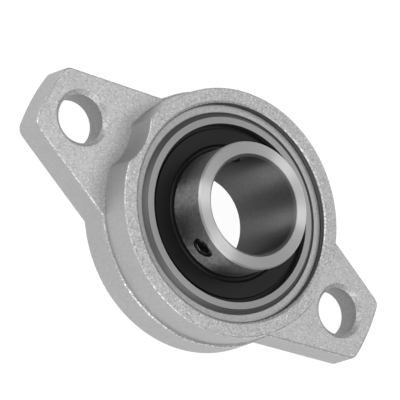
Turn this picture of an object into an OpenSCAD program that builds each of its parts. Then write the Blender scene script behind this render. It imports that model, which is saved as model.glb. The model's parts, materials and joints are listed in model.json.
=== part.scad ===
// Two-bolt flange bearing with a self-aligning seat and a 20 mm bore.
// The mounting face lies on z = 0, the shaft runs along Z and the bolts stand along X.
// A cast housing holds a ball-shaped swivel ring, and the ring holds a sealed deep-groove bearing
// whose inner race is lengthened into a collar with two grub screws.

/* [Flange] */
// Distance between the two bolt holes
bolt_spacing = 71; // [68:0.5:80]
// Diameter of each bolt hole
bolt_hole_d = 10; // [7:0.5:12]
// Width of the chamfer at both ends of a bolt hole
bolt_hole_chamfer = 0.9; // [0.3:0.1:1.2]
// Thickness of the flange
flange_t = 7; // [5:0.5:8]
// Metal from the centre of a bolt hole to the end of its ear
ear_end = 8.6; // [7.5:0.1:12]
// Metal from the centre of a bolt hole to the flank of its ear
ear_side = 9.45; // [8:0.05:12]
// Angle between a flank and the line through the bolts
flank_angle = 19.5; // [14:0.5:24]
// Radius of the ear's corners, seen from the front
ear_corner_r = 2.2; // [1:0.1:4]
// Draft of the flange's rim
rim_draft = 4; // [1:0.5:6]
// Rounding of the flange's front edge
front_edge_r = 0.4; // [0.2:0.1:0.8]
// Rounding of the flange's back edge
back_edge_r = 0.5; // [0.2:0.1:0.8]

/* [Hub] */
// Height of the hub's face above the mounting face
hub_height = 14; // [13.5:0.25:16]
// Thickness of the hub's wall round the seat, at the flange
hub_wall = 2.9; // [2.4:0.1:5]
// Width of the step where the hub rises from the flange
hub_step = 0.55; // [0.3:0.05:1.5]
// Draft of the hub's wall
hub_draft = 3.6; // [1:0.2:6]
// Rounding of the hub's front edge
hub_edge_r = 0.3; // [0.2:0.1:0.6]
// Metal that the hub keeps between the seat and the room for a bolt's head
room_wall = 1.1; // [1:0.05:2]
// Rounding of the seat's front mouth
seat_round = 0.8; // [0.4:0.1:0.9]
// Width of the chamfer at the seat's rear mouth
seat_chamfer = 0.6; // [0.3:0.1:1]

/* [Swivel ring] */
// Height of the ball plane, the seat's centre, above the mounting face
ball_plane = 7; // [6.8:0.1:7.6]
// Wall of the swivel ring at its thickest
swivel_wall = 2.2; // [1.8:0.1:3.5]
// How far the swivel ring's edges are rolled in over the outer race's chamfers
swivel_lip = 0.2; // [0.1:0.05:0.3]
// How far the swivel ring's faces lie below those of the outer race
swivel_drop = 0.6; // [0.2:0.1:0.9]

/* [Races] */
// Diameter of the shaft
shaft_d = 20; // [16:0.5:21]
// Wall of the collar round the shaft
collar_wall = 3; // [2.6:0.1:3.5]
// Height of the shoulders beside the inner ball track above the collar
shoulder_step = 0.5; // [0.2:0.1:0.8]
// Depth of the ball track in the inner race
inner_groove = 1.2; // [1:0.05:1.4]
// Depth of the ball track in the outer race
outer_groove = 1; // [0.8:0.05:1.2]
// Metal behind the ball track in the outer race
race_wall = 2.29; // [1.99:0.1:2.99]
// Width of the outer race
race_w = 12; // [12:0.5:13]
// Chamfer at the outer race's outer corners
race_chamfer = 1.2; // [0.4:0.1:1.3]
// Length of the collar in front of the ball plane
collar_front = 14; // [13:0.25:17]
// Distance of the inner race's rear end from the mounting face
rear_shy = 0.5; // [0.2:0.1:0.8]
// Chamfer at both ends of the bore
bore_chamfer = 0.5; // [0.2:0.1:0.8]
// Chamfer at the ends of the inner race, outside
collar_chamfer = 0.35; // [0.2:0.05:0.5]

/* [Balls and cage] */
// Diameter of a ball
ball_d = 6.35; // [5.5:0.05:6.5]
// Number of balls
ball_count = 9; // [7:1:9]
// How much larger a track's radius is than a ball's
track_ease = 0.13; // [0.05:0.01:0.25]
// Thickness of the cage's sheet
cage_t = 0.6; // [0.4:0.05:0.7]
// Width of the cage's band
cage_band = 2.3; // [1.8:0.1:2.6]
// Diameter of a cage rivet
rivet_d = 1.1; // [0.8:0.1:1.3]
// Diameter of a cage rivet's head
rivet_head_d = 1.9; // [1.5:0.1:2.2]

/* [Seals] */
// Depth of a seal's seat below the land beside the ball track
seal_seat = 0.7; // [0.5:0.05:0.9]
// Depth of a seal below the face of the outer race
seal_recess = 1; // [0.7:0.05:1.1]
// Thickness of a seal
seal_t = 0.9; // [0.85:0.05:1]
// Height of the bead that holds a seal in the outer race's groove
seal_bead = 0.5; // [0.3:0.05:0.6]
// Width of the channel round a seal's face
seal_channel = 0.95; // [0.5:0.05:1.1]
// Thickness of a seal's steel core
core_t = 0.4; // [0.3:0.05:0.4]

/* [Grub screws] */
// Nominal thread diameter
screw_d = 5; // [4:0.5:5]
// Pitch of the thread
screw_pitch = 0.8; // [0.5:0.1:0.8]
// How far both ends of a screw lie below the collar's surfaces
screw_shy = 0.1; // [0.05:0.05:0.3]
// Width across the flats of the socket
socket_af = 2.5; // [1.5:0.5:2.5]
// Depth of the socket
socket_depth = 1.5; // [1:0.1:1.6]
// Distance of the screws from the collar's front face
screw_from_face = 4.6; // [3.5:0.1:4.8]
// Direction of the first screw, seen from the front
screw_angle = -108; // [-180:1:180]
// Angle between the two screws
screw_spread = 120; // [60:5:180]

/* [Fits] */
// Gap between the swivel ring and its seat
seat_gap = 0.05; // [0.03:0.01:0.1]
// Gap between a ball and its tracks
track_gap = 0.03; // [0.03:0.01:0.06]
// Gap between a ball and its cage pocket
pocket_gap = 0.12; // [0.08:0.01:0.2]
// Gap between a seal's lip and the inner race
lip_gap = 0.05; // [0.03:0.01:0.1]
// Gap of the parts that are pressed together
press_gap = 0.02; // [0.01:0.01:0.04]
// Gap round a grub screw in its thread
thread_gap = 0.04; // [0.03:0.01:0.1]

/* [Hidden] */
$fn = 96;

// how far a cutter runs past the face that it opens
past = 1;
// how far a rounding stands proud of the faces that it joins, so that they cross and don't just touch
proud = 0.01;
rim_slope = tan(rim_draft);
hub_slope = tan(hub_draft);

// the chain of fits, from the shaft outwards
bore_r = shaft_d / 2;
collar_r = bore_r + collar_wall;
shoulder_r = collar_r + shoulder_step;
ball_r = ball_d / 2;
pitch_r = shoulder_r - inner_groove + track_gap + ball_r;
outer_track_r = pitch_r + ball_r + track_gap;
outer_land_r = outer_track_r - outer_groove;
race_r = outer_track_r + race_wall;
ring_bore_r = race_r + press_gap;
swivel_r = race_r + swivel_wall;
seat_r = swivel_r + seat_gap;

// radii of the housing at the flange's front face
hub_r = seat_r + hub_wall;
disc_r = hub_r + hub_step;
hub_top_r = hub_r - (hub_height - flange_t) * hub_slope;
bolt_x = bolt_spacing / 2;
scallop_r = bolt_x - seat_r - room_wall;
ear_reach = bolt_x + ear_end;
flank_reach = bolt_x * sin(flank_angle) + ear_side;

// an ear's rounded corner, which touches the flank and the end, as a row of narrow flats:
// each entry holds the direction that a flat faces and its distance, the flank's own first
corner_out = ear_reach - ear_corner_r;
corner_turn = 90 - flank_angle - acos((flank_reach - ear_corner_r) / corner_out);
corner_flats = 4;
corner_step = (90 - flank_angle - corner_turn) / (corner_flats + 1);
corner_walls = [
    for (k = [0 : corner_flats])
        let (a = 90 - flank_angle - k * corner_step)
            [a, corner_out * cos(a - corner_turn) + ear_corner_r]
];

// tracks, pockets and the inner race's rear end
track_r = ball_r + track_ease;
inner_track_c = shoulder_r - inner_groove + track_r;
outer_track_c = outer_track_r - track_r;
pocket_r = ball_r + pocket_gap;
collar_rear = ball_plane - rear_shy;

// seals, measured from the ball plane
seal_out = race_w / 2 - seal_recess;
seal_in = seal_out - seal_t;
seal_r = outer_land_r + seal_seat;
bead_r = seal_r + seal_bead;
lip_r = collar_r + lip_gap;
// width of the lip and of the ring beside it, and how far the lip is drawn in behind and in front
lip_w = 0.35;
ring_w = 0.4;
lip_drop = 0.3;
lip_front = 0.1;
// depth of the dip behind the ring and of the channel round the seal's face, and the dip's width
dip = 0.2;
dip_w = 0.5;
channel_depth = 0.3;
seal_edge = seal_out - channel_depth;
// how far the bead is thinner than the seal's edge, on each side
bead_inset = 0.1;
bead_in = seal_in + bead_inset;
bead_out = seal_edge - bead_inset;
core_in_r = lip_r + lip_w + ring_w;
// rubber round the outside of a seal's core
core_cover = 0.4;
core_out_r = seal_r - core_cover;
// where the shoulder ends, just under the seal's lip
shoulder_end = seal_in - lip_gap;

// grub screws, drawn plain at the pitch diameter of their thread
thread_share = 0.65;
screw_r = (screw_d - thread_share * screw_pitch) / 2;
screw_z = ball_plane + collar_front - screw_from_face;
screw_top = collar_r - screw_shy;
screw_l = collar_wall - 2 * screw_shy;
// chamfer at a screw's outer end, twice that at its point
screw_edge = 0.3;
screw_b_angle = screw_angle - screw_spread;

// Half of a cast rim's cross-section, from its axis out to r at its front face.
// The wall leans out towards the back, and both edges are rounded.
module rim_section(r, h, slope, front_r, back_r = 0) {
    s = sqrt(1 + slope * slope);
    zf = h - front_r;
    xf = r + front_r * slope - front_r * s;
    xb = r + (h - back_r) * slope - back_r * s;
    polygon([
        [0, 0],
        [xb, 0],
        [xb + back_r / s, back_r + back_r * slope / s],
        [xf + front_r / s, zf + front_r * slope / s],
        [xf, h],
        [0, h]
    ]);
    translate([xf, zf]) circle(front_r);
    if (back_r > 0) translate([xb, back_r]) circle(back_r);
}

// The flange's own rim section, out to r
module flange_rim(r) {
    rim_section(r, flange_t, rim_slope, front_edge_r, back_edge_r);
}

// What lies on the axis side of one drafted wall, which faces the direction a at distance d
module wall_side(a, d) {
    wide = 4 * ear_reach;
    rotate([0, 0, a]) translate([0, wide / 2, 0]) rotate([90, 0, 0]) linear_extrude(wide) {
        flange_rim(d);
        translate([-wide, 0]) square([wide, flange_t]);
    }
}

// The lozenge flange with its two ears: round ends, cut by the flanks and by the corners' flats
module ears() {
    intersection() {
        rotate_extrude() flange_rim(ear_reach);
        intersection_for (wall = corner_walls, a = [wall[0], 180 - wall[0], -wall[0], 180 + wall[0]])
            wall_side(a, wall[1]);
    }
}

// Room for a bolt's head and a spanner, with the hub's edge rounded along it
module scallop() {
    s = sqrt(1 + hub_slope * hub_slope);
    face = hub_height + proud;
    zc = face - hub_edge_r;
    xc = scallop_r + (zc - flange_t) * hub_slope + hub_edge_r * s;
    top = face + past;
    rotate_extrude() difference() {
        polygon([
            [0, flange_t],
            [scallop_r, flange_t],
            [xc - hub_edge_r / s, zc + hub_edge_r * hub_slope / s],
            [xc, face],
            [xc, top],
            [0, top]
        ]);
        translate([xc, zc]) circle(hub_edge_r);
    }
}

// The round middle of the flange and the hub on it, with both scallops cut in
module hub() {
    difference() {
        rotate_extrude() {
            flange_rim(disc_r);
            rim_section(hub_top_r, hub_height, hub_slope, hub_edge_r);
        }
        for (side = [-1, 1]) translate([side * bolt_x, 0, 0]) scallop();
    }
}

module bolt_hole() {
    r = bolt_hole_d / 2;
    wide = r + bolt_hole_chamfer;
    translate([0, 0, -past]) cylinder(r = r, h = flange_t + 2 * past);
    translate([0, 0, flange_t - bolt_hole_chamfer])
        cylinder(r1 = r, r2 = wide + past, h = bolt_hole_chamfer + past);
    translate([0, 0, -past])
        cylinder(r1 = wide + past, r2 = r, h = bolt_hole_chamfer + past);
}

// The seat's radius at a distance from its centre
function seat_at(distance) = sqrt(seat_r * seat_r - distance * distance);

// What rounds the seat's front mouth, measured from the ball plane
module round_mouth() {
    face = hub_height - ball_plane + proud;
    zc = face - seat_round;
    xc = seat_at(zc) + seat_round;
    rotate_extrude() difference() {
        translate([0, zc]) square([xc, seat_round + past]);
        translate([xc, zc]) circle(seat_round);
    }
}

// A cone that chamfers the seat's rear mouth, measured outwards from the ball plane
module chamfer_mouth() {
    mouth_r = seat_at(ball_plane);
    translate([0, 0, ball_plane - seat_chamfer])
        cylinder(r1 = mouth_r, r2 = mouth_r + seat_chamfer + past, h = seat_chamfer + past);
}

module housing() {
    color("silver") difference() {
        union() {
            ears();
            hub();
        }
        translate([0, 0, ball_plane]) {
            sphere(seat_r);
            round_mouth();
            mirror([0, 0, 1]) chamfer_mouth();
        }
        for (side = [-1, 1]) translate([side * bolt_x, 0, 0]) bolt_hole();
    }
}

module swivel_ring() {
    half = race_w / 2 - swivel_drop;
    // where the bore starts to follow the race's chamfer
    turn = race_w / 2 - race_chamfer + press_gap / 2;
    lip_bore_r = ring_bore_r - swivel_lip;
    color("darkgray") translate([0, 0, ball_plane]) difference() {
        intersection() {
            sphere(swivel_r);
            cube([4 * swivel_r, 4 * swivel_r, 2 * half], center = true);
        }
        rotate_extrude() polygon([
            [0, -race_w],
            [lip_bore_r, -race_w],
            [lip_bore_r, -turn - swivel_lip],
            [ring_bore_r, -turn],
            [ring_bore_r, turn],
            [lip_bore_r, turn + swivel_lip],
            [lip_bore_r, race_w],
            [0, race_w]
        ]);
    }
}

// Half of the outer race's cross-section, above the ball plane
module outer_race_half() {
    half = race_w / 2;
    difference() {
        polygon([
            [outer_land_r, 0],
            [race_r, 0],
            [race_r, half - race_chamfer],
            [race_r - race_chamfer, half],
            [outer_land_r, half]
        ]);
        translate([0, seal_in - press_gap]) square([seal_r + press_gap, half]);
        translate([0, bead_in - press_gap])
            square([bead_r + press_gap, bead_out - bead_in + 2 * press_gap]);
    }
}

module outer_race() {
    color("gainsboro") translate([0, 0, ball_plane]) rotate_extrude() difference() {
        union() {
            outer_race_half();
            mirror([0, 1]) outer_race_half();
        }
        translate([outer_track_c, 0]) circle(track_r);
    }
}

module inner_race() {
    color("lightgray") difference() {
        translate([0, 0, ball_plane]) rotate_extrude() difference() {
            polygon([
                [bore_r + bore_chamfer, -collar_rear],
                [collar_r - collar_chamfer, -collar_rear],
                [collar_r, -collar_rear + collar_chamfer],
                [collar_r, -shoulder_end],
                [shoulder_r, -shoulder_end + shoulder_step],
                [shoulder_r, shoulder_end - shoulder_step],
                [collar_r, shoulder_end],
                [collar_r, collar_front - collar_chamfer],
                [collar_r - collar_chamfer, collar_front],
                [bore_r + bore_chamfer, collar_front],
                [bore_r, collar_front - bore_chamfer],
                [bore_r, -collar_rear + bore_chamfer]
            ]);
            translate([inner_track_c, 0]) circle(track_r);
        }
        for (a = [screw_angle, screw_b_angle]) on_screw_axis(a) screw_hole();
    }
}

// Turns and lifts its children from the Z axis onto a screw's axis, pointing outwards
module on_screw_axis(angle) {
    translate([0, 0, screw_z]) rotate([0, 0, angle]) rotate([0, 90, 0]) children();
}

module screw_hole() {
    cylinder(r = screw_r + thread_gap, h = 2 * collar_r);
}

// One grub screw with a hexagon socket, a chamfered head end and a hollow cup point
module grub_screw(angle) {
    tip = screw_top - screw_l;
    cup_r = screw_r / 2;
    cup_depth = cup_r * tan(30);
    color("dimgray") on_screw_axis(angle) difference() {
        translate([0, 0, tip]) rotate_extrude() polygon([
            [0, 0],
            [screw_r - 2 * screw_edge, 0],
            [screw_r, 2 * screw_edge],
            [screw_r, screw_l - screw_edge],
            [screw_r - screw_edge, screw_l],
            [0, screw_l]
        ]);
        translate([0, 0, screw_top - socket_depth])
            cylinder(r = socket_af / 2 / cos(30), h = socket_depth + past, $fn = 6);
        translate([0, 0, tip - cup_depth]) cylinder(r1 = 2 * cup_r, r2 = 0, h = 2 * cup_depth);
    }
}

module setscrew_a() {
    grub_screw(screw_angle);
}

module setscrew_b() {
    grub_screw(screw_b_angle);
}

// A seal's cross-section, measured from the ball plane: plate, bead, channel, dip, ring and lip
module seal_section() {
    ring_r = lip_r + lip_w;
    dip_r = ring_r + ring_w;
    flat_r = seal_r - seal_channel;
    difference() {
        polygon([
            [lip_r, seal_in + lip_drop],
            [ring_r, seal_in],
            [seal_r, seal_in],
            [seal_r, bead_in],
            [bead_r, bead_in],
            [bead_r, bead_out],
            [seal_r, bead_out],
            [seal_r, seal_edge],
            [flat_r + dip, seal_edge],
            [flat_r, seal_out],
            [dip_r + dip_w, seal_out],
            [dip_r + dip_w / 2, seal_out - dip],
            [dip_r, seal_out],
            [ring_r, seal_out],
            [lip_r + lip_front, seal_out - lip_front],
            [lip_r, seal_out - lip_front]
        ]);
        translate([core_in_r, seal_in - past])
            square([core_out_r - core_in_r, core_t + past]);
    }
}

module seal_core_section() {
    translate([core_in_r + press_gap, seal_in])
        square([core_out_r - core_in_r - 2 * press_gap, core_t - press_gap]);
}

module front_seal() {
    color("black") translate([0, 0, ball_plane]) rotate_extrude() seal_section();
}

module front_seal_core() {
    color("slategray") translate([0, 0, ball_plane]) rotate_extrude() seal_core_section();
}

module rear_seal() {
    color("black") translate([0, 0, ball_plane]) mirror([0, 0, 1]) rotate_extrude() seal_section();
}

module rear_seal_core() {
    color("slategray") translate([0, 0, ball_plane]) mirror([0, 0, 1])
        rotate_extrude() seal_core_section();
}

// Places its children at every ball, or halfway between the balls where offset is 0.5
module round_the_pitch(offset = 0) {
    for (i = [0 : ball_count - 1])
        rotate([0, 0, (i + offset) * 360 / ball_count]) translate([pitch_r, 0, 0]) children();
}

module ball(i) {
    color("whitesmoke") translate([0, 0, ball_plane])
        rotate([0, 0, (i - 1) * 360 / ball_count]) translate([pitch_r, 0, 0]) sphere(ball_r);
}

// One half of the ribbon cage: a flat band pressed out round each ball
module cage_half() {
    shell_r = pocket_r + cage_t;
    difference() {
        intersection() {
            union() {
                cylinder(r = pitch_r + cage_band, h = cage_t);
                round_the_pitch() sphere(shell_r);
            }
            difference() {
                cylinder(r = pitch_r + cage_band / 2, h = 2 * shell_r);
                translate([0, 0, -past]) cylinder(r = pitch_r - cage_band / 2, h = 3 * shell_r);
            }
        }
        round_the_pitch() sphere(pocket_r);
        round_the_pitch(0.5) translate([0, 0, -past])
            cylinder(r = rivet_d / 2 + press_gap, h = cage_t + 2 * past);
    }
}

module cage_front() {
    color("burlywood") translate([0, 0, ball_plane]) cage_half();
}

module cage_rear() {
    color("burlywood") translate([0, 0, ball_plane]) mirror([0, 0, 1]) cage_half();
}

module cage_rivets() {
    head_h = 0.35;
    color("sienna") translate([0, 0, ball_plane]) round_the_pitch(0.5) {
        cylinder(r = rivet_d / 2, h = 2 * cage_t, center = true);
        for (side = [0, 1]) mirror([0, 0, side]) translate([0, 0, cage_t])
            cylinder(r1 = rivet_head_d / 2, r2 = rivet_head_d / 3, h = head_h);
    }
}

housing();
swivel_ring();
outer_race();
inner_race();
front_seal();
front_seal_core();
rear_seal();
rear_seal_core();
for (i = [1 : ball_count])
    ball(i);
cage_front();
cage_rear();
cage_rivets();
setscrew_a();
setscrew_b();
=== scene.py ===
"""Dresses the two-bolt flange bearing: finishes, threaded grub screws, floor, lamps and camera."""

import json
import math

import bmesh
import bpy
from mathutils import Matrix, Vector


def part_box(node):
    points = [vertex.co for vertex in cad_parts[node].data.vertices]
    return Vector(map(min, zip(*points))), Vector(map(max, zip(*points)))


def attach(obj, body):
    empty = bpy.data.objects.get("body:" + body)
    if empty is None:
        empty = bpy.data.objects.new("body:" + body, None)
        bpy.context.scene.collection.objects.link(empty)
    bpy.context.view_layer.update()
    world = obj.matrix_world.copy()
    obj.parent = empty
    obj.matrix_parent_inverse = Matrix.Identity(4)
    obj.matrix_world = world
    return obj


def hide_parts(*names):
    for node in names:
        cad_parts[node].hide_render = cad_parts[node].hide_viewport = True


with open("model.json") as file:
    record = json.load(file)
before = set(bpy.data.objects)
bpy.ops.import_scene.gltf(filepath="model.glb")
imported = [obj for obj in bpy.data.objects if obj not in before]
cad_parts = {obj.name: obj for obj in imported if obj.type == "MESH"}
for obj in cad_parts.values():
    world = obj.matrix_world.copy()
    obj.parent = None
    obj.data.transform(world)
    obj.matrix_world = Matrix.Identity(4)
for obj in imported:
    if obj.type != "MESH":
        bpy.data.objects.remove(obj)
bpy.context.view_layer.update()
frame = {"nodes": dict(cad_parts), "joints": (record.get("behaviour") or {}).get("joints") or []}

bl_info = {
    "name": "Two-bolt flange bearing",
    "version": (1, 0, 0),
    "blender": (4, 5, 0),
    "location": "View3D > Sidebar > Bearing",
    "description": "Finishes, grub screws and studio of a self-aligning flange bearing",
    "category": "Object",
}

BALLS = sorted(node for node in frame["nodes"] if node.startswith("ball_"))

# Places on the bearing, in metres. The front faces up, and the flange stands on Z = 0.
BOLT_X = 0.0355
COLLAR_MIDDLE = 0.01075

# Where one surface gives way to the next: both ends of a soft border, in metres
HUB_FOOT = (0.007, 0.0072)  # height of the flange's face
HOLE_WALL = (0.0053, 0.0056)  # from a bolt's axis
HOLE_CHAMFER = (0.006, 0.0065)  # from a bolt's axis
SEAT_MOUTH = (0.02325, 0.02345)  # from the shaft's axis, as are the next six
RING_RIM = (0.02236, 0.02248)
RING_LIP = (0.02090, 0.02102)
SEAL_CHANNEL = (0.0173, 0.0176)
TAP_OUTER_END = (0.0129, 0.0130)
TAP_INNER_END = (0.0107, 0.0110)
BORE_WALL = (0.0103, 0.01055)
TAP_BOTTOM = (0.0130, 0.0135)  # heights of the tapped holes' belt
TAP_TOP = (0.0195, 0.0200)
COLLAR_END = (0.0095, 0.0100)  # from the middle of the collar

# How squarely a surface faces the front or the back: 0 is a wall and 1 is a face
FACE_ON = (0.80, 0.97)

# Widths of the patterns' marks, in millimetres
KNOCK = 0.4545  # on the casting's edges
SKIN_PATCH = 6.25  # where the shot lay thicker or thinner
OIL_SMEAR = 0.6667  # on the collar, in the bore and on the grub screws
GREASE_PATCH = 2.5  # on the balls
ROLLING_MARK = 1.111  # real ones are about 0.1 mm, and these are as coarse as they need to show
FLOW_MARK = 1.43  # in the rubber

# Depths of the fine reliefs, in metres
GROUND_DEPTH = 0.00001
ROLLED_DEPTH = 0.00002
MOULDED_DEPTH = 0.00002

# Settings of the nodes that come up most
SMOOTH = {"interpolation_type": "SMOOTHSTEP"}
TIMES = {"operation": "MULTIPLY"}
TINT = {"operation": "SCALE"}
COLOURS = {"data_type": "RGBA"}


def linear(code):
    """The linear colour of an sRGB hex code."""
    parts = [int(code[i : i + 2], 16) / 255 for i in (0, 2, 4)]
    return tuple(p / 12.92 if p <= 0.04045 else ((p + 0.055) / 1.055) ** 2.4 for p in parts)


def marks(width):
    """The scale of a pattern whose marks are this many millimetres wide."""
    return 1000 / width


def add_node(tree, kind, inputs=(), out=0, **settings):
    """Adds a shader node and gives one of its outputs. Inputs come in the node's own order, or by
    name or number, and each is a value or another node's output. A Map Range takes a value, the two
    ends it lies between and what it gives at each. A Mix of colours takes its share as input 0 and
    its colours as 6 and 7, and gives output 2."""
    node = tree.nodes.new("ShaderNode" + kind)
    for name, value in settings.items():
        setattr(node, name, value)
    for key, value in inputs.items() if isinstance(inputs, dict) else enumerate(inputs):
        if isinstance(value, bpy.types.NodeSocket):
            tree.links.new(value, node.inputs[key])
        else:
            node.inputs[key].default_value = value
    return node.outputs[out] if node.outputs else None


def start_material(name):
    """A material without nodes, and its tree."""
    material = bpy.data.materials.new(name)
    material.use_nodes = True
    material.node_tree.nodes.clear()
    return material, material.node_tree


def close_material(material, surface):
    """Joins a shader with these inputs to the material's output."""
    shader = add_node(material.node_tree, "BsdfPrincipled", surface)
    add_node(material.node_tree, "OutputMaterial", {"Surface": shader})
    return material


def paint(material, *nodes):
    """Gives CAD nodes their finish."""
    for node in nodes:
        part = frame["nodes"][node]
        part.data.materials.clear()
        part.data.materials.append(material)


def facing_front(tree):
    """How squarely the surface faces the front or the back."""
    normal = add_node(tree, "TexCoord", out="Normal")
    along = add_node(tree, "SeparateXYZ", (normal,), "Z")
    return add_node(tree, "Math", (along,), operation="ABSOLUTE")


def distance_from_axis(tree, place):
    """How far a point lies from the Z axis."""
    flat = add_node(tree, "VectorMath", (place, (1, 1, 0)), **TIMES)
    return add_node(tree, "VectorMath", (flat,), "Value", operation="LENGTH")


def distance_from_bolt(tree, place):
    """How far a point lies from the nearer bolt's axis."""
    folded = add_node(tree, "VectorMath", (place,), operation="ABSOLUTE")
    beside = add_node(tree, "VectorMath", (folded, (BOLT_X, 0, 0)), operation="SUBTRACT")
    return distance_from_axis(tree, beside)


def shot_blast(tree, place, grit):
    """The dented skin that shot leaves: the dents' height, and a chance for each to be light or
    dark. Both are as wide as the grit."""
    scale = 1 / grit
    dents = add_node(
        tree, "TexNoise", {"Vector": place, "Scale": scale, "Detail": 3.0, "Roughness": 0.75}
    )
    cells = add_node(tree, "TexVoronoi", {"Vector": place, "Scale": scale}, "Color")
    return dents, add_node(tree, "SeparateColor", (cells,), "Red")


def turning_rings(tree, radius, spacing):
    """Fine rings round the shaft's axis, as turning and face grinding leave them."""
    lines = {"W": radius, "Scale": 1 / spacing, "Detail": 3.0, "Roughness": 0.7}
    return add_node(tree, "TexNoise", lines, noise_dimensions="1D")


def grind_round(tree, amount):
    """Shader inputs that stretch the shine across grinding marks round the shaft's axis."""
    quarter_turn = 0.25
    return {
        "Tangent": add_node(tree, "Tangent", direction_type="RADIAL", axis="Z"),
        "Anisotropic": amount,
        "Anisotropic Rotation": quarter_turn,
    }


class CastingSettings(bpy.types.PropertyGroup):
    """Looks of the housing and the swivel ring"""

    face: bpy.props.FloatVectorProperty(
        name="Blasted face",
        description="Colour of the zinc where the shot hits it squarely",
        subtype="COLOR",
        default=linear("c6c6c6"),
    )
    wall: bpy.props.FloatVectorProperty(
        name="Drafted wall",
        description="Colour of the smoother walls",
        subtype="COLOR",
        default=linear("bababa"),
    )
    # Partly the colour of burred edges and partly painted highlight; the flecks on the faces take
    # it too
    edge: bpy.props.FloatVectorProperty(
        name="Edge",
        description="Colour of the burr on the edges",
        subtype="COLOR",
        default=linear("f6f6f6"),
    )
    # Painted shade in the gap by the swivel ring, drawn on the machined seat's mouth
    seat: bpy.props.FloatVectorProperty(
        name="Seat",
        description="Colour of the machined seat, dark with grease",
        subtype="COLOR",
        default=linear("989898"),
    )
    pit: bpy.props.FloatVectorProperty(
        name="Pit",
        description="Colour of the deepest dents",
        subtype="COLOR",
        default=linear("6e6e6e"),
    )
    # Painted shade on the walls of the bolt holes: how bright they are drawn beside the other walls
    hole_shade: bpy.props.FloatProperty(
        name="Bolt holes",
        description="How bright their walls are beside the others",
        subtype="FACTOR",
        default=0.62,
        min=0,
        max=1,
    )
    # Real shot leaves dents of 0.1 to 0.2 mm. They are drawn a little wider, at about one pixel,
    # because finer ones don't show in the render.
    grit: bpy.props.FloatProperty(
        name="Grit",
        description="Width of one dent",
        default=0.00022,
        unit="LENGTH",
        precision=5,
    )
    dent: bpy.props.FloatProperty(
        name="Dent depth",
        description="Depth of the dents",
        default=0.00004,
        unit="LENGTH",
        precision=5,
    )


class SteelSettings(bpy.types.PropertyGroup):
    """Looks of the races, balls, cage and cores"""

    race: bpy.props.FloatVectorProperty(
        name="Outer race",
        description="Colour of the outer race",
        subtype="COLOR",
        default=linear("989898"),
    )
    ground: bpy.props.FloatVectorProperty(
        name="Collar's face",
        description="Colour of the inner race's ground faces",
        subtype="COLOR",
        default=linear("c8c8c8"),
    )
    polished: bpy.props.FloatVectorProperty(
        name="Polished steel",
        description="Colour of the collar's outside",
        subtype="COLOR",
        default=linear("888888"),
    )
    # The bore's colour: its darkness is painted shade, and its oil film shows in its roughness and
    # smears
    oiled_and_shaded: bpy.props.FloatVectorProperty(
        name="Oiled bore",
        description="Colour of the bore under its film of oil",
        subtype="COLOR",
        default=linear("7e7e7e"),
    )
    sheet: bpy.props.FloatVectorProperty(
        name="Sheet steel",
        description="Colour of the cage and of the seals' cores",
        subtype="COLOR",
        default=linear("a8a59e"),
    )
    ball: bpy.props.FloatVectorProperty(
        name="Ball",
        description="Colour of the lapped balls",
        subtype="COLOR",
        default=linear("c8c8ca"),
    )
    # Real grinding lines lie 0.02 to 0.05 mm apart. They are drawn as coarse as they need to show.
    ring_spacing: bpy.props.FloatProperty(
        name="Grinding lines",
        description="Distance between the grinding lines",
        default=0.00022,
        unit="LENGTH",
        precision=5,
    )


class SealSettings(bpy.types.PropertyGroup):
    """Looks of the rubber seals"""

    rubber: bpy.props.FloatVectorProperty(
        name="Rubber",
        description="Colour of the seals",
        subtype="COLOR",
        default=linear("141415"),
    )
    roughness: bpy.props.FloatProperty(
        name="Roughness",
        description="Roughness of the moulded rubber",
        subtype="FACTOR",
        default=0.42,
        min=0,
        max=1,
    )


class ScrewSettings(bpy.types.PropertyGroup):
    """Looks and sizes of the grub screws"""

    oxide: bpy.props.FloatVectorProperty(
        name="Black oxide",
        description="Colour of the grub screws",
        subtype="COLOR",
        default=linear("606062"),
    )
    pitch: bpy.props.FloatProperty(
        name="Pitch",
        description="Pitch of the thread",
        default=0.0008,
        unit="LENGTH",
        precision=5,
    )
    socket: bpy.props.FloatProperty(
        name="Socket",
        description="Width across the socket's flats",
        default=0.0025,
        unit="LENGTH",
        precision=5,
    )
    socket_depth: bpy.props.FloatProperty(
        name="Socket depth",
        description="Depth of the socket's flats",
        default=0.0014,
        unit="LENGTH",
        precision=5,
    )


class StageSettings(bpy.types.PropertyGroup):
    """The floor and the camera"""

    floor: bpy.props.FloatVectorProperty(
        name="Floor",
        description="Colour of the floor",
        subtype="COLOR",
        default=linear("f2f2f2"),
    )
    shadow: bpy.props.FloatProperty(
        name="Shadow",
        description="Share of the floor's light that shows the shadow",
        subtype="FACTOR",
        default=0.16,
        min=0,
        max=1,
    )
    azimuth: bpy.props.FloatProperty(
        name="Azimuth",
        description="Direction of the camera round Z",
        default=math.radians(-129.23),
        subtype="ANGLE",
    )
    elevation: bpy.props.FloatProperty(
        name="Elevation",
        description="Height of the camera above the floor",
        default=math.radians(55.19),
        subtype="ANGLE",
    )
    roll: bpy.props.FloatProperty(
        name="Roll",
        description="Turn of the camera about its line of sight",
        default=math.radians(70.78),
        subtype="ANGLE",
    )
    distance: bpy.props.FloatProperty(
        name="Distance",
        description="Distance of the camera",
        default=0.36701,
        unit="LENGTH",
    )
    lens: bpy.props.FloatProperty(
        name="Lens",
        description="Focal length of the camera",
        default=161.6,
        unit="CAMERA",
    )


class BEARING_OT_dress_housing(bpy.types.Operator):
    """Shot-blasted skin, brighter edges that are partly painted highlight, and painted shade at the
    machined seat's mouth, on the cast housing
    """

    bl_idname = "bearing.dress_housing"
    bl_label = "Housing"

    def execute(self, context):
        paint(blasted_zinc(context.scene.bearing_casting), "housing")
        return {"FINISHED"}


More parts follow.
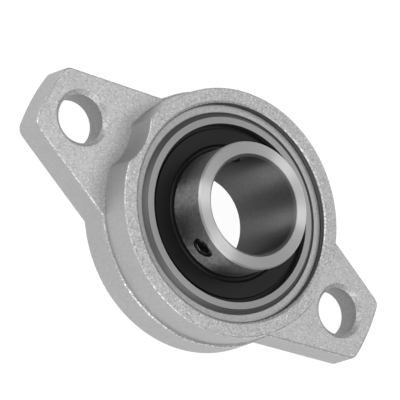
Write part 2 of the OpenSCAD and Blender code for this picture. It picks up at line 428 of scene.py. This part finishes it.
class BEARING_OT_dress_swivel_ring(bpy.types.Operator):
    """Blasted face and lathe-cut ball surface on the swivel ring"""

    bl_idname = "bearing.dress_swivel_ring"
    bl_label = "Swivel ring"

    def execute(self, context):
        paint(turned_zinc(context.scene.bearing_casting), "swivel_ring")
        return {"FINISHED"}


class BEARING_OT_dress_races(bpy.types.Operator):
    """Ground faces on both races, polished collar and bore"""

    bl_idname = "bearing.dress_races"
    bl_label = "Races"

    def execute(self, context):
        steel = context.scene.bearing_steel
        paint(ground_race_steel(steel), "outer_race")
        paint(honed_collar_steel(steel), "inner_race")
        return {"FINISHED"}


class BEARING_OT_dress_balls(bpy.types.Operator):
    """Lapped steel on the balls"""

    bl_idname = "bearing.dress_balls"
    bl_label = "Balls"

    def execute(self, context):
        paint(lapped_ball_steel(context.scene.bearing_steel), *BALLS)
        return {"FINISHED"}


class BEARING_OT_dress_cage(bpy.types.Operator):
    """Pressed sheet steel on the cage, its rivets and the seals' cores"""

    bl_idname = "bearing.dress_cage"
    bl_label = "Cage and cores"

    def execute(self, context):
        sheet = pressed_sheet_steel(context.scene.bearing_steel)
        paint(sheet, "cage_front", "cage_rear", "cage_rivets", "front_seal_core", "rear_seal_core")
        return {"FINISHED"}


class BEARING_OT_dress_seals(bpy.types.Operator):
    """Moulded black rubber on both seals"""

    bl_idname = "bearing.dress_seals"
    bl_label = "Seals"

    def execute(self, context):
        paint(moulded_rubber(context.scene.bearing_seal), "front_seal", "rear_seal")
        return {"FINISHED"}


class BEARING_OT_cut_screws(bpy.types.Operator):
    """Grub screws with a thread, a hexagon socket and a cup point"""

    bl_idname = "bearing.cut_screws"
    bl_label = "Grub screws"

    def execute(self, context):
        settings = context.scene.bearing_screw
        oxide = black_oxide_steel(settings)
        for side in ("a", "b"):
            node, joint = f"setscrew_{side}", f"screw_{side}_travel"
            screw = threaded_screw(f"threaded_screw_{side}", node, joint, settings)
            screw.data.materials.append(oxide)
            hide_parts(f"setscrew_{side}")
            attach(screw, f"screw_{side}")
        return {"FINISHED"}


class BEARING_OT_set_stage(bpy.types.Operator):
    """Pale floor, soft lamps and the camera"""

    bl_idname = "bearing.set_stage"
    bl_label = "Stage"

    def execute(self, context):
        settings = context.scene.bearing_stage
        lay_floor(settings)
        light_world()
        for lamp in LAMPS:
            hang_lamp(*lamp)
        place_camera(context.scene, settings)
        context.scene.view_settings.view_transform = "Standard"
        return {"FINISHED"}


class BEARING_PT_panel(bpy.types.Panel):
    """Lists the steps in the 3D view's sidebar"""

    bl_idname = "BEARING_PT_panel"
    bl_label = "Flange bearing"
    bl_space_type = "VIEW_3D"
    bl_region_type = "UI"
    bl_category = "Bearing"

    def draw(self, context):
        for step in STEPS:
            self.layout.operator(step.bl_idname)
        for group in SETTINGS:
            settings = getattr(context.scene, group)
            box = self.layout.box()
            for name in settings.bl_rna.properties.keys():
                if name not in ("name", "rna_type"):
                    box.prop(settings, name)


def blasted_zinc(casting):
    """Die-cast zinc alloy, shot-blasted after trimming: the faces sparkle and their deepest dents
    are dark, and the drafted walls stay smoother. The bolt holes' walls carry painted shade. The
    edges are burred and knocked bright in places, and their white is partly painted highlight.
    It mirrors the lamps on the flange, and scatters their light more on the hub and the holes.
    The machined seat carries painted shade at its mouth, in the gap by the swivel ring."""
    material, tree = start_material("blasted_zinc")
    place = add_node(tree, "TexCoord", out="Object")
    height = add_node(tree, "SeparateXYZ", (place,), "Z")
    radius = distance_from_axis(tree, place)
    from_bolt = distance_from_bolt(tree, place)
    facing = facing_front(tree)
    dents, chance = shot_blast(tree, place, casting.grit)
    knock = {"Vector": place, "Scale": marks(KNOCK), "Detail": 3.0}
    knocks = add_node(tree, "TexNoise", knock)
    patch = {"Vector": place, "Scale": marks(SKIN_PATCH), "Detail": 3.0}
    patches = add_node(tree, "TexNoise", patch)

    # Which surface a point belongs to
    face = add_node(tree, "MapRange", (facing, *FACE_ON), **SMOOTH)
    wall = add_node(tree, "MapRange", (facing, 0.3, 0.6, 1, 0), **SMOOTH)
    hub = add_node(tree, "MapRange", (height, *HUB_FOOT), **SMOOTH)
    # Painted shade: where the walls of the bolt holes are drawn darker
    hole_shade = add_node(tree, "MapRange", (from_bolt, *HOLE_WALL, wall, 0), **SMOOTH)
    chamfer = add_node(tree, "MapRange", (from_bolt, *HOLE_CHAMFER, 1, 0), **SMOOTH)
    not_face = add_node(tree, "MapRange", (face, 0, 1, 1, 0))
    edge = add_node(tree, "MapRange", (facing, 0.15, 0.5, 0, not_face), **SMOOTH)
    steep = add_node(tree, "MapRange", (facing, 0.55, 0.7, 1, 0), **SMOOTH)
    # The machined seat, whose darker colour at its mouth is painted shade in the gap by the swivel
    # ring
    seat_and_gap_shade = add_node(tree, "MapRange", (radius, *SEAT_MOUTH, steep, 0), **SMOOTH)

    # The edges' white, partly burred metal and partly painted highlight, with less of it on the
    # holes' chamfers and where nothing has knocked it
    burr_and_highlight = add_node(tree, "MapRange", (seat_and_gap_shade, 0, 1, edge, 0))
    half_rim = add_node(tree, "Math", (edge, 0.5), **TIMES)
    rim = add_node(tree, "MapRange", (chamfer, 0, 1, edge, half_rim))
    knocked = add_node(tree, "MapRange", (knocks, 0.42, 0.58, 0.15, 1), **SMOOTH)
    rim = add_node(tree, "Math", (rim, knocked), **TIMES)

    # The skin's colour: face and wall, painted shade in the bolt holes, then the rim with its
    # painted highlight, the grain, its flecks and pits, and the seat with its painted shade
    lift = add_node(tree, "MapRange", (hub, 0, 1, 1.08, 1))
    skin = add_node(tree, "VectorMath", {0: casting.face, "Scale": lift}, **TINT)
    skin = add_node(tree, "Mix", {0: face, 6: (*casting.wall, 1), 7: skin}, 2, **COLOURS)
    # The bolt holes' walls darkened: painted shade
    dim = add_node(tree, "MapRange", (hole_shade, 0, 1, 1, casting.hole_shade))
    skin = add_node(tree, "VectorMath", {0: skin, "Scale": dim}, **TINT)
    # The edges turn white: partly burred metal and partly painted highlight
    skin = add_node(tree, "Mix", {0: rim, 6: skin, 7: (*casting.edge, 1)}, 2, **COLOURS)
    depth = add_node(tree, "MapRange", (hub, 0, 1, 0.6, 1))
    depth = add_node(tree, "Math", (face, depth), **TIMES)
    dark = add_node(tree, "MapRange", (depth, 0, 1, 0.98, 0.83))
    light = add_node(tree, "MapRange", (depth, 0, 1, 1.02, 1.15))
    grain = add_node(tree, "MapRange", (chance, 0, 1, dark, light))
    patches = add_node(tree, "MapRange", (patches, 0, 1, 0.97, 1.03))
    grain = add_node(tree, "Math", (grain, patches), **TIMES)
    skin = add_node(tree, "VectorMath", {0: skin, "Scale": grain}, **TINT)
    fleck = add_node(tree, "MapRange", (depth, 0, 1, 0.1, 0.5))
    fleck = add_node(tree, "MapRange", (chance, 0.93, 0.98, 0, fleck), **SMOOTH)
    pit = add_node(tree, "MapRange", (depth, 0, 1, 0.05, 0.3))
    pit = add_node(tree, "MapRange", (chance, 0.02, 0.1, pit, 0), **SMOOTH)
    # The seat's colour at its mouth is painted shade in the gap by the swivel ring
    for share, colour in ((fleck, casting.edge), (pit, casting.pit), (seat_and_gap_shade, casting.seat)):
        skin = add_node(tree, "Mix", {0: share, 6: skin, 7: (*colour, 1)}, 2, **COLOURS)

    rough = add_node(tree, "MapRange", (chance, 0, 1, 0.62, 0.5))
    rough = add_node(tree, "MapRange", (rim, 0, 1, rough, 0.32))
    rough = add_node(tree, "MapRange", (seat_and_gap_shade, 0, 1, rough, 0.45))
    metal = add_node(tree, "MapRange", (hub, 0, 1, 0.97, 0.6))
    metal = add_node(tree, "MapRange", (chamfer, 0, 1, metal, 0.45))
    metal = add_node(tree, "MapRange", (burr_and_highlight, 0, 1, 1, metal))
    bump = {
        "Height": dents,
        "Strength": add_node(tree, "MapRange", (face, 0, 1, 0.2, 0.9)),
        "Distance": casting.dent,
    }
    surface = {
        "Base Color": skin,
        "Roughness": rough,
        "Metallic": metal,
        "Normal": add_node(tree, "Bump", bump),
    }
    return close_material(material, surface)


def turned_zinc(casting):
    """The same alloy with its ball surface cut on the lathe: the face keeps the blasted sparkle. It
    is dished a little, so it catches the light as a cone does, and a dark line of painted shade
    lies at its two edges, in the gaps beside the hub and the race."""
    dish_slope = 0.1
    material, tree = start_material("turned_zinc")
    place = add_node(tree, "TexCoord", out="Object")
    radius = distance_from_axis(tree, place)
    dents, chance = shot_blast(tree, place, casting.grit)
    face = add_node(tree, "MapRange", (facing_front(tree), *FACE_ON), **SMOOTH)
    dark = add_node(tree, "MapRange", (face, 0, 1, 0.98, 0.84))
    light = add_node(tree, "MapRange", (face, 0, 1, 1.02, 1.1))
    grain = add_node(tree, "MapRange", (chance, 0, 1, dark, light))
    # Painted shade: a dark line at each edge of the face, in the gaps beside the hub and the race
    grease_and_gap_shade = add_node(tree, "MapRange", (radius, *RING_LIP, 1, 0), **SMOOTH)
    grease_and_gap_shade = add_node(tree, "MapRange", (radius, *RING_RIM, grease_and_gap_shade, 1), **SMOOTH)
    grease_and_gap_shade = add_node(tree, "Math", (face, grease_and_gap_shade), **TIMES)
    gap_shaded = add_node(tree, "Math", (grain, 0.4), **TIMES)
    grain = add_node(tree, "MapRange", (grease_and_gap_shade, 0, 1, grain, gap_shaded))
    dish = {"Height": radius, "Strength": face, "Distance": dish_slope}
    bump = {
        "Height": dents,
        "Strength": add_node(tree, "MapRange", (face, 0, 1, 0.1, 0.8)),
        "Distance": casting.dent,
        "Normal": add_node(tree, "Bump", dish),
    }
    surface = {
        "Base Color": add_node(tree, "VectorMath", {0: casting.wall, "Scale": grain}, **TINT),
        "Roughness": add_node(tree, "MapRange", (face, 0, 1, 0.35, 0.55)),
        "Metallic": 1.0,
        "Normal": add_node(tree, "Bump", bump),
    }
    return close_material(material, surface)


def ground_race_steel(steel):
    """Through-hardened bearing steel, face-ground: fine rings, and a shine that fans out across
    them. The chamfer, cut on the lathe, is duller, and drawn darker with painted shade."""
    material, tree = start_material("ground_race_steel")
    place = add_node(tree, "TexCoord", out="Object")
    rings = turning_rings(tree, distance_from_axis(tree, place), steel.ring_spacing)
    face = add_node(tree, "MapRange", (facing_front(tree), *FACE_ON), **SMOOTH)
    shade = add_node(tree, "MapRange", (rings, 0, 1, 0.84, 1.14))
    # Painted shade: the chamfer drawn at 0.7 of the face's tone
    turned_and_shaded = add_node(tree, "Math", (shade, 0.7), **TIMES)
    shade = add_node(tree, "MapRange", (face, 0, 1, turned_and_shaded, shade))
    bump = {"Height": rings, "Strength": 0.3, "Distance": GROUND_DEPTH}
    surface = {
        "Base Color": add_node(tree, "VectorMath", {0: steel.race, "Scale": shade}, **TINT),
        "Roughness": add_node(tree, "MapRange", (face, 0, 1, 0.6, 0.45)),
        "Metallic": 1.0,
        "Normal": add_node(tree, "Bump", bump),
        **grind_round(tree, 0.6),
    }
    return close_material(material, surface)


def honed_collar_steel(steel):
    """The same steel on the inner race. Its ends and its collar are ground round the axis, and
    shine in streaks along it. A film of oil lies on the collar in smears, and the bore is oily and
    duller. The bore's darker colour is painted shade, as is the dark on the tapped holes' walls."""
    material, tree = start_material("honed_collar_steel")
    place = add_node(tree, "TexCoord", out="Object")
    height = add_node(tree, "SeparateXYZ", (place,), "Z")
    radius = distance_from_axis(tree, place)
    rings = turning_rings(tree, radius, steel.ring_spacing)
    oil = {"Vector": place, "Scale": marks(OIL_SMEAR), "Detail": 5.0, "Roughness": 0.85}
    film = add_node(tree, "TexNoise", oil)
    film = add_node(tree, "MapRange", (film, 0.38, 0.66), **SMOOTH)

    # The bore, the ends with their chamfers, and the walls of the tapped holes
    bore = add_node(tree, "MapRange", (radius, *BORE_WALL, 1, 0), **SMOOTH)
    end = add_node(tree, "Math", (height, COLLAR_MIDDLE), operation="SUBTRACT")
    end = add_node(tree, "Math", (end,), operation="ABSOLUTE")
    end = add_node(tree, "MapRange", (end, *COLLAR_END), **SMOOTH)
    end = add_node(tree, "MapRange", (facing_front(tree), 0.45, 0.6, 0, end), **SMOOTH)
    end = add_node(tree, "MapRange", (radius, *BORE_WALL, 0, end), **SMOOTH)
    # Painted shadow on the walls of the tapped holes
    tapped = add_node(tree, "MapRange", (radius, *TAP_INNER_END), **SMOOTH)
    tapped = add_node(tree, "MapRange", (radius, *TAP_OUTER_END, tapped, 0), **SMOOTH)
    tapped = add_node(tree, "MapRange", (height, *TAP_BOTTOM, 0, tapped), **SMOOTH)
    tapped = add_node(tree, "MapRange", (height, *TAP_TOP, tapped, 0), **SMOOTH)

    tone = (*steel.polished, 1)
    # The bore's darker tone is painted shade
    for share, colour in ((end, steel.ground), (bore, steel.oiled_and_shaded)):
        tone = add_node(tree, "Mix", {0: share, 6: tone, 7: (*colour, 1)}, 2, **COLOURS)
    clean = add_node(tree, "MapRange", (bore, 0, 1, 0.78, 0.9))
    smeared = add_node(tree, "MapRange", (bore, 0, 1, 1.3, 1.1))
    smear = add_node(tree, "MapRange", (film, 0, 1, clean, smeared))
    lines = add_node(tree, "MapRange", (rings, 0, 1, 0.9, 1.1))
    shade = add_node(tree, "Math", (lines, smear), **TIMES)
    shadow = add_node(tree, "Math", (shade, 0.3), **TIMES)
    shade = add_node(tree, "MapRange", (tapped, 0, 1, shade, shadow))
    shade = add_node(tree, "MapRange", (end, 0, 1, shade, lines))
    dull = add_node(tree, "MapRange", (film, 0, 1, 0.42, 0.54))
    dull = add_node(tree, "MapRange", (bore, 0, 1, dull, 0.55))
    bump = {"Height": rings, "Strength": 0.25, "Distance": GROUND_DEPTH}
    surface = {
        "Base Color": add_node(tree, "VectorMath", {0: tone, "Scale": shade}, **TINT),
        "Roughness": add_node(tree, "MapRange", (end, 0, 1, dull, 0.45)),
        "Metallic": 1.0,
        "Normal": add_node(tree, "Bump", bump),
        **grind_round(tree, 1.0),
    }
    return close_material(material, surface)


def lapped_ball_steel(steel):
    """Chromium steel balls, lapped to a mirror, with a thin greasy film that blurs it in
    patches."""
    material, tree = start_material("lapped_ball_steel")
    place = add_node(tree, "TexCoord", out="Object")
    grease_and_gap_shade = {"Vector": place, "Scale": marks(GREASE_PATCH), "Detail": 2.0}
    film = add_node(tree, "TexNoise", grease_and_gap_shade)
    surface = {
        "Base Color": (*steel.ball, 1),
        "Roughness": add_node(tree, "MapRange", (film, 0, 1, 0.04, 0.14)),
        "Metallic": 1.0,
    }
    return close_material(material, surface)


def pressed_sheet_steel(steel):
    """Cold-rolled strip, pressed and riveted: faint rolling marks and a dull shine."""
    material, tree = start_material("pressed_sheet_steel")
    place = add_node(tree, "TexCoord", out="Object")
    strip = {"Vector": place, "Scale": marks(ROLLING_MARK), "Detail": 3.0, "Roughness": 0.6}
    rolled = add_node(tree, "TexNoise", strip)
    shade = add_node(tree, "MapRange", (rolled, 0, 1, 0.85, 1.1))
    bump = {"Height": rolled, "Strength": 0.2, "Distance": ROLLED_DEPTH}
    surface = {
        "Base Color": add_node(tree, "VectorMath", {0: steel.sheet, "Scale": shade}, **TINT),
        "Roughness": add_node(tree, "MapRange", (rolled, 0, 1, 0.3, 0.45)),
        "Metallic": 1.0,
        "Normal": add_node(tree, "Bump", bump),
    }
    return close_material(material, surface)


def moulded_rubber(seal):
    """Nitrile rubber from a polished mould: satin black, faint flow marks and a little dust. The
    channel round the rim is drawn darker with painted shade."""
    material, tree = start_material("moulded_rubber")
    place = add_node(tree, "TexCoord", out="Object")
    mould = {"Vector": place, "Scale": marks(FLOW_MARK), "Detail": 4.0, "Roughness": 0.65}
    flow = add_node(tree, "TexNoise", mould)
    dust = add_node(tree, "MapRange", (flow, 0, 1, 0.8, 1.25))
    # Painted shade in the channel round the rim
    channel_shade = add_node(tree, "Math", (dust, 0.3), **TIMES)
    radius = distance_from_axis(tree, place)
    tone = add_node(tree, "MapRange", (radius, *SEAL_CHANNEL, dust, channel_shade), **SMOOTH)
    smooth, matt = seal.roughness - 0.06, seal.roughness + 0.10
    bump = {"Height": flow, "Strength": 0.25, "Distance": MOULDED_DEPTH}
    surface = {
        "Base Color": add_node(tree, "VectorMath", {0: seal.rubber, "Scale": tone}, **TINT),
        "Roughness": add_node(tree, "MapRange", (flow, 0, 1, smooth, matt)),
        "Specular IOR Level": 0.22,
        "Normal": add_node(tree, "Bump", bump),
    }
    return close_material(material, surface)


def black_oxide_steel(screw):
    """Alloy steel, blackened and wiped with oil: nearly black, with a soft metal shine."""
    material, tree = start_material("black_oxide_steel")
    place = add_node(tree, "TexCoord", out="Object")
    oil = {"Vector": place, "Scale": marks(OIL_SMEAR), "Detail": 3.0}
    film = add_node(tree, "TexNoise", oil)
    shade = add_node(tree, "MapRange", (film, 0, 1, 0.6, 1.5))
    surface = {
        "Base Color": add_node(tree, "VectorMath", {0: screw.oxide, "Scale": shade}, **TINT),
        "Roughness": add_node(tree, "MapRange", (film, 0, 1, 0.28, 0.45)),
        "Metallic": 1.0,
    }
    return close_material(material, surface)


def threaded_screw(name, node, joint, settings):
    """A grub screw in the place of its CAD node. Its section is spun about Z, then the rows of the
    side are drawn in along a helix for the thread, and those of the socket onto a hexagon."""
    axis = Vector(next(j["axis"] for j in frame["joints"] if j["name"] == joint)).normalized()
    reach = [v.co.dot(axis) for v in frame["nodes"][node].data.vertices]
    tip, top = min(reach), max(reach)
    low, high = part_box(node)
    length = top - tip
    crest = (high.z - low.z) / 2
    thread_depth = 0.55 * settings.pitch
    root = crest - thread_depth
    # The thread starts a little below its root at both ends, and grows with this slope
    start_depth, start_slope = root - 0.1 * thread_depth, 1.2
    rows_per_turn, steps = 12, 72
    rows = round(length / settings.pitch * rows_per_turn)
    half_sector = math.radians(30)
    socket_r = settings.socket / 2 / math.cos(half_sector)
    socket_floor = length - settings.socket_depth
    socket_lead_in, drill_point = 0.06 * socket_r, 0.3 * socket_r
    cup_r, cup_angle = 0.5 * crest, math.radians(30)
    cup_depth = cup_r * math.tan(cup_angle)
    sharp_angle = math.radians(35)
    tiny = 1e-7

    section = [(0, cup_depth), (cup_r, 0)]
    section += [(crest, length * row / rows) for row in range(rows + 1)]
    section += [(socket_r + socket_lead_in, length), (socket_r, length - socket_lead_in)]
    section += [(socket_r, socket_floor), (0, socket_floor - drill_point)]

    bm = bmesh.new()
    points = [bm.verts.new((r, 0, z)) for r, z in section]
    for a, b in zip(points, points[1:]):
        bm.edges.new((a, b))
    bmesh.ops.spin(
        bm,
        geom=bm.verts[:] + bm.edges[:],
        cent=(0, 0, 0),
        axis=(0, 0, 1),
        dvec=(0, 0, 0),
        angle=2 * math.pi,
        space=Matrix.Identity(4),
        steps=steps,
        use_merge=True,
        use_normal_flip=False,
        use_duplicate=False,
    )
    bmesh.ops.remove_doubles(bm, verts=bm.verts, dist=tiny)
    for v in bm.verts:
        r = math.hypot(v.co.x, v.co.y)
        if r < tiny:
            continue
        turn = math.atan2(v.co.y, v.co.x)
        if r > crest - tiny:
            phase = (v.co.z / settings.pitch - turn / (2 * math.pi)) % 1
            ridge = root + thread_depth * abs(2 * phase - 1)
            from_end = min(v.co.z, length - v.co.z)
            wanted = min(ridge, start_depth + start_slope * from_end)
        elif v.co.z > socket_floor - tiny and 0.9 * socket_r < r < 1.1 * socket_r:
            off = (turn + half_sector) % (2 * half_sector) - half_sector
            wanted = r * math.cos(half_sector) / math.cos(off)
        else:
            continue
        v.co.x *= wanted / r
        v.co.y *= wanted / r
    bmesh.ops.recalc_face_normals(bm, faces=bm.faces)

    centre = (low + high) / 2
    turn_out = Vector((0, 0, 1)).rotation_difference(axis).to_matrix().to_4x4()
    start = centre + axis * (tip - centre.dot(axis))
    bmesh.ops.transform(bm, matrix=Matrix.Translation(start) @ turn_out, verts=bm.verts)
    screw = link_mesh(name, bm)
    screw.data.shade_smooth()
    screw.data.set_sharp_from_angle(angle=sharp_angle)
    return screw


def link_mesh(name, bm):
    """A new object with the shape that was modelled."""
    mesh = bpy.data.meshes.new(name)
    bm.to_mesh(mesh)
    bm.free()
    thing = bpy.data.objects.new(name, mesh)
    bpy.context.scene.collection.objects.link(thing)
    return thing


# Name, azimuth and elevation in degrees, distance and sides in metres, and power in watts of each
# softbox. The first two stand on either side of the camera, and the third hangs high behind the
# part.
LAMPS = [
    ("left_box", 183, 38, 0.60, (0.31, 0.55), 1.15),
    ("right_box", -80, 38, 0.60, (0.40, 0.55), 1.35),
    ("top_box", 51, 66, 0.70, (0.42, 0.80), 1.30),
]


def hang_lamp(name, azimuth, elevation, distance, size, power):
    """A softbox that faces the part, its second side upright."""
    lamp = bpy.data.lights.new(name, "AREA")
    lamp.shape = "RECTANGLE"
    lamp.size, lamp.size_y = size
    lamp.energy = power
    holder = bpy.data.objects.new(name, lamp)
    bpy.context.scene.collection.objects.link(holder)
    towards = direction(math.radians(azimuth), math.radians(elevation))
    holder.location = towards * distance
    holder.rotation_euler = towards.to_track_quat("Z", "Y").to_euler()


def direction(azimuth, elevation):
    """The unit vector at an azimuth round Z and a height over the floor."""
    level = math.cos(elevation)
    return Vector((level * math.cos(azimuth), level * math.sin(azimuth), math.sin(elevation)))


def seen_directly(tree):
    """1 for what the camera sees, also in metal and through glass."""
    seen = 0.0
    for ray in ("Is Camera Ray", "Is Glossy Ray", "Is Transmission Ray"):
        path = add_node(tree, "LightPath", out=ray)
        seen = add_node(tree, "Math", (seen, path), operation="MAXIMUM")
    return seen


def light_world():
    """A room that is dim at the height of the part and pale overhead."""
    world = bpy.data.worlds.new("room")
    world.use_nodes = True
    bpy.context.scene.world = world
    tree = world.node_tree
    tree.nodes.clear()
    towards = add_node(tree, "TexCoord", out="Generated")
    height = add_node(tree, "SeparateXYZ", (towards,), "Z")
    overhead = add_node(tree, "MapRange", (height, 0.55, 0.98), **SMOOTH)
    colour = {0: overhead, 6: (*linear("505051"), 1), 7: (*linear("cbcbcd"), 1)}
    colour = add_node(tree, "Mix", colour, 2, **COLOURS)
    room = add_node(tree, "Background", {"Color": colour, "Strength": 1.0})
    add_node(tree, "OutputWorld", {"Surface": room})


def lay_floor(settings):
    """A matt floor that keeps a soft part of the shadow and is white to the camera. It lies just
    under the flange, so the two never share a plane."""
    half_side, drop, white = 3.0, 0.00005, 1.12
    material, tree = start_material("pale_floor")
    matt = {"Base Color": (*settings.floor, 1), "Roughness": 0.9}
    matt = add_node(tree, "BsdfPrincipled", matt)
    glow = add_node(tree, "Emission", {"Color": (1, 1, 1, 1), "Strength": white})
    share = add_node(tree, "Math", (seen_directly(tree), 1 - settings.shadow), **TIMES)
    mixed = add_node(tree, "MixShader", (share, matt, glow))
    add_node(tree, "OutputMaterial", {"Surface": mixed})
    bm = bmesh.new()
    bmesh.ops.create_grid(bm, x_segments=1, y_segments=1, size=half_side)
    bmesh.ops.translate(bm, verts=bm.verts, vec=(0, 0, -drop))
    floor = link_mesh("floor", bm)
    floor.data.materials.append(material)


def place_camera(scene, settings):
    """The camera at the photograph's angle. It aims at a point beside the shaft's axis, at the
    height of the flange's face."""
    aim = Vector((-0.00492, 0.00104, 0.007))
    towards = direction(settings.azimuth, settings.elevation)
    upright = towards.to_track_quat("Z", "Y").to_matrix().to_4x4()
    roll = Matrix.Rotation(settings.roll, 4, "Z")
    lens = bpy.data.cameras.new("camera")
    lens.lens = settings.lens
    lens.clip_start = 0.01
    camera = bpy.data.objects.new("camera", lens)
    scene.collection.objects.link(camera)
    camera.matrix_world = Matrix.Translation(aim + towards * settings.distance) @ upright @ roll
    scene.camera = camera


STEPS = (
    BEARING_OT_dress_housing,
    BEARING_OT_dress_swivel_ring,
    BEARING_OT_dress_races,
    BEARING_OT_dress_balls,
    BEARING_OT_dress_cage,
    BEARING_OT_dress_seals,
    BEARING_OT_cut_screws,
    BEARING_OT_set_stage,
)
SETTINGS = {
    "bearing_casting": CastingSettings,
    "bearing_steel": SteelSettings,
    "bearing_seal": SealSettings,
    "bearing_screw": ScrewSettings,
    "bearing_stage": StageSettings,
}


def register():
    """Adds the settings, the steps and the panel to Blender."""
    for name, group in SETTINGS.items():
        bpy.utils.register_class(group)
        setattr(bpy.types.Scene, name, bpy.props.PointerProperty(type=group))
    for cls in (*STEPS, BEARING_PT_panel):
        bpy.utils.register_class(cls)


def unregister():
    """Takes them out again."""
    for cls in (BEARING_PT_panel, *reversed(STEPS)):
        bpy.utils.unregister_class(cls)
    for name, group in SETTINGS.items():
        delattr(bpy.types.Scene, name)
        bpy.utils.unregister_class(group)


def main():
    """Runs every step in order."""
    register()
    for step in STEPS:
        area, verb = step.bl_idname.split(".")
        getattr(getattr(bpy.ops, area), verb)()


if __name__ == "__main__":
    main()
